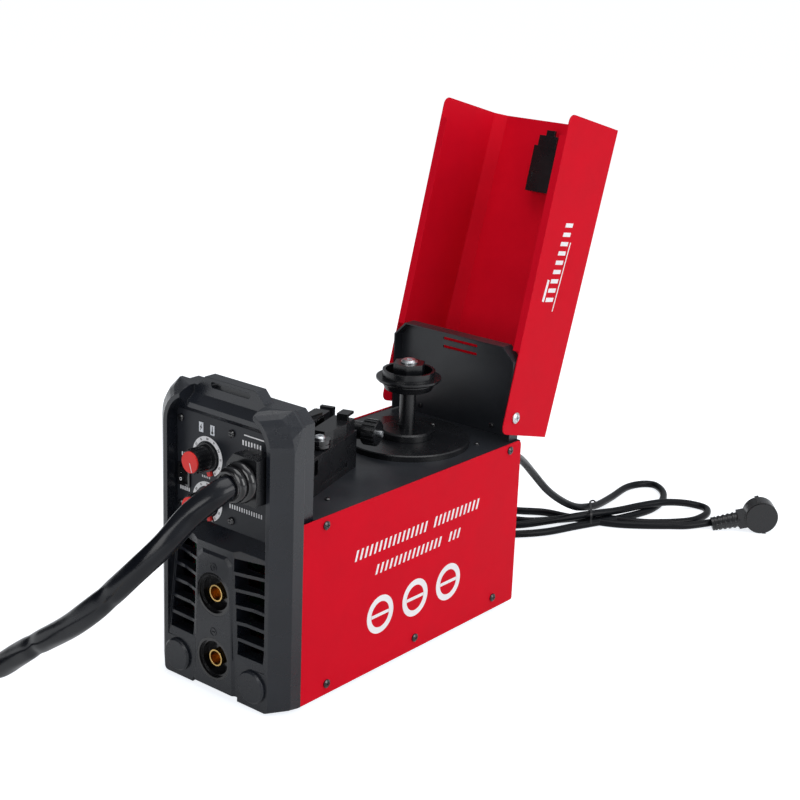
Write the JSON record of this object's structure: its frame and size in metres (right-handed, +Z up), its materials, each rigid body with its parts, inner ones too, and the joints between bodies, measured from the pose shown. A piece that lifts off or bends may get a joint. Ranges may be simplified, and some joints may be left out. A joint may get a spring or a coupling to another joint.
{
  "type": "mig welding machine",
  "caption": "Compact top-loading wire-feed arc welder with hinged hood, wire drive, spool hub, front sockets, torch on a flexible lead and coiled mains cord.",
  "frame": {"origin": "centre of the base tray underside, on the mid-plane of the case and half-way along the side panels", "axes": "+Z up, the front panel with the controls faces -Y, and +X is on the right when looking at the front panel"},
  "size_m": [0.3894, 1.115, 0.4925],
  "materials": {
    "red_paint": "gloss powder coat",
    "dark_paint": "satin powder coat",
    "bezel_plastic": "fine grain moulding",
    "panel_film": "satin printed film",
    "black_plastic": "satin",
    "gloss_black": "gloss",
    "red_plastic": "satin",
    "white_plastic": "satin translucent",
    "zinc_steel": "zinc plated",
    "black_steel": "black oxide",
    "galvanised": "galvanised sheet",
    "brass": "turned",
    "rubber": "matte",
    "sleeve": "satin",
    "cord_jacket": "satin",
    "aluminium": "extruded",
    "board": "solder mask",
    "coil": "varnished winding",
    "blue_film": "wrapped"
  },
  "bodies": {
    "case": {"base_tray": "galvanised", "rubber_feet": "rubber", "left_side_panel": "red_paint", "right_side_panel": "red_paint", "side_panel_screws": "black_steel", "front_bezel": "bezel_plastic", "foot_caps": "bezel_plastic", "control_panel": "panel_film", "panel_screws": "black_steel", "indicator_lenses": "white_plastic", "potentiometers": "zinc_steel", "switch_housings": "gloss_black", "weld_sockets": "gloss_black", "socket_inserts": "brass", "torch_connector_block": "black_plastic", "torch_gland_nut": "gloss_black", "torch_cable": "sleeve", "torch_handle": "black_plastic", "torch_neck": "brass", "deck_plate": "dark_paint", "deck_screws": "black_steel", "rear_panel": "dark_paint", "hood_pivot_screws": "zinc_steel", "feeder_base": "black_plastic", "wire_guide": "brass", "feed_motor": "galvanised", "spool_plate": "black_plastic", "control_board": "board", "heatsinks": "aluminium", "transformer": "coil", "capacitors": "blue_film", "fan_frame": "black_plastic", "gas_valve": "galvanised", "gas_inlet": "brass", "cord_gland": "black_plastic", "mains_cord": "cord_jacket", "cable_tie": "black_plastic", "mains_plug": "black_plastic", "plug_pins": "zinc_steel"},
    "hood": {"hood": "red_paint", "latch_body": "black_plastic"},
    "latch": {"latch_slider": "black_plastic"},
    "current_dial": {"current_knob": "black_plastic", "current_knob_cap": "red_plastic"},
    "speed_dial": {"speed_knob": "black_plastic", "speed_knob_cap": "red_plastic"},
    "mode_switch": {"mode_rocker": "gloss_black"},
    "power_switch": {"power_rocker": "gloss_black"},
    "spool_holder": {"spool_hub": "black_plastic", "spool_cup": "black_plastic", "brake_bolt": "zinc_steel"},
    "brake": {"brake_knob": "black_plastic"},
    "feed_roll": {"drive_roll": "black_steel", "drive_roll_screw": "zinc_steel"},
    "arm": {"pressure_arm": "black_plastic"},
    "idler": {"idler_roll": "zinc_steel"},
    "tension_lever": {"tension_screw": "zinc_steel"},
    "tension_nut": {"tension_knob": "black_plastic"},
    "fan": {"fan_rotor": "black_plastic"},
    "trigger": {"torch_trigger": "red_plastic"}
  },
  "joints": [
    {"name": "hood_hinge", "type": "hinge", "parent": "case", "child": "hood", "pos_m": [0, 0.1499, 0.1948], "axis": [1, 0, 0], "range_deg": [0, 106.4]},
    {"name": "latch_slide", "type": "slide", "parent": "hood", "child": "latch", "axis": [0, 0.2672, 0.9636], "range_m": [0, 0.006]},
    {"name": "current_turn", "type": "hinge", "parent": "case", "child": "current_dial", "pos_m": [-0.0223, -0.18, 0.21], "axis": [0, -1, 0], "range_deg": [0, 290]},
    {"name": "speed_turn", "type": "hinge", "parent": "case", "child": "speed_dial", "pos_m": [-0.0223, -0.18, 0.1683], "axis": [0, -1, 0], "range_deg": [0, 290]},
    {"name": "mode_rock", "type": "hinge", "parent": "case", "child": "mode_switch", "pos_m": [-0.051, -0.167, 0.1864], "axis": [1, 0, 0], "range_deg": [-14, 0]},
    {"name": "power_rock", "type": "hinge", "parent": "case", "child": "power_switch", "pos_m": [-0.048, 0.1535, 0.132], "axis": [1, 0, 0], "range_deg": [0, 14]},
    {"name": "spool_spin", "type": "hinge", "parent": "case", "child": "spool_holder", "pos_m": [0, 0.076, 0.2], "axis": [0, 0, 1], "continuous": true},
    {"name": "brake_turn", "type": "hinge", "parent": "spool_holder", "child": "brake", "pos_m": [0, 0.076, 0.24], "axis": [0, 0, 1], "range_deg": [0, 360]},
    {"name": "feed_roll_spin", "type": "hinge", "parent": "case", "child": "feed_roll", "pos_m": [0.02197, -0.07527, 0.211], "axis": [0, 0, 1], "continuous": true},
    {"name": "arm_swing", "type": "hinge", "parent": "case", "child": "arm", "pos_m": [0.00051, -0.11511, 0.2], "axis": [0, 0, 1], "range_deg": [0, 3]},
    {"name": "idler_spin", "type": "hinge", "parent": "arm", "child": "idler", "pos_m": [0.00281, -0.08101, 0.211], "axis": [0, 0, 1], "continuous": true},
    {"name": "tension_release", "type": "hinge", "parent": "arm", "child": "tension_lever", "pos_m": [-0.03092, -0.01033, 0.2], "axis": [0.2874, -0.9578, 0], "range_deg": [0, 80]},
    {"name": "tension_turn", "type": "hinge", "parent": "tension_lever", "child": "tension_nut", "pos_m": [-0.00985, -0.004, 0.2], "axis": [0.9578, 0.2874, 0], "continuous": true},
    {"name": "fan_spin", "type": "hinge", "parent": "case", "child": "fan", "pos_m": [0, 0.1435, 0.062], "axis": [0, 1, 0], "continuous": true},
    {"name": "trigger_press", "type": "hinge", "parent": "case", "child": "trigger", "pos_m": [-0.07439, -0.45806, 0.006], "axis": [0, 0, -1], "range_deg": [0, 6]}
  ]
}
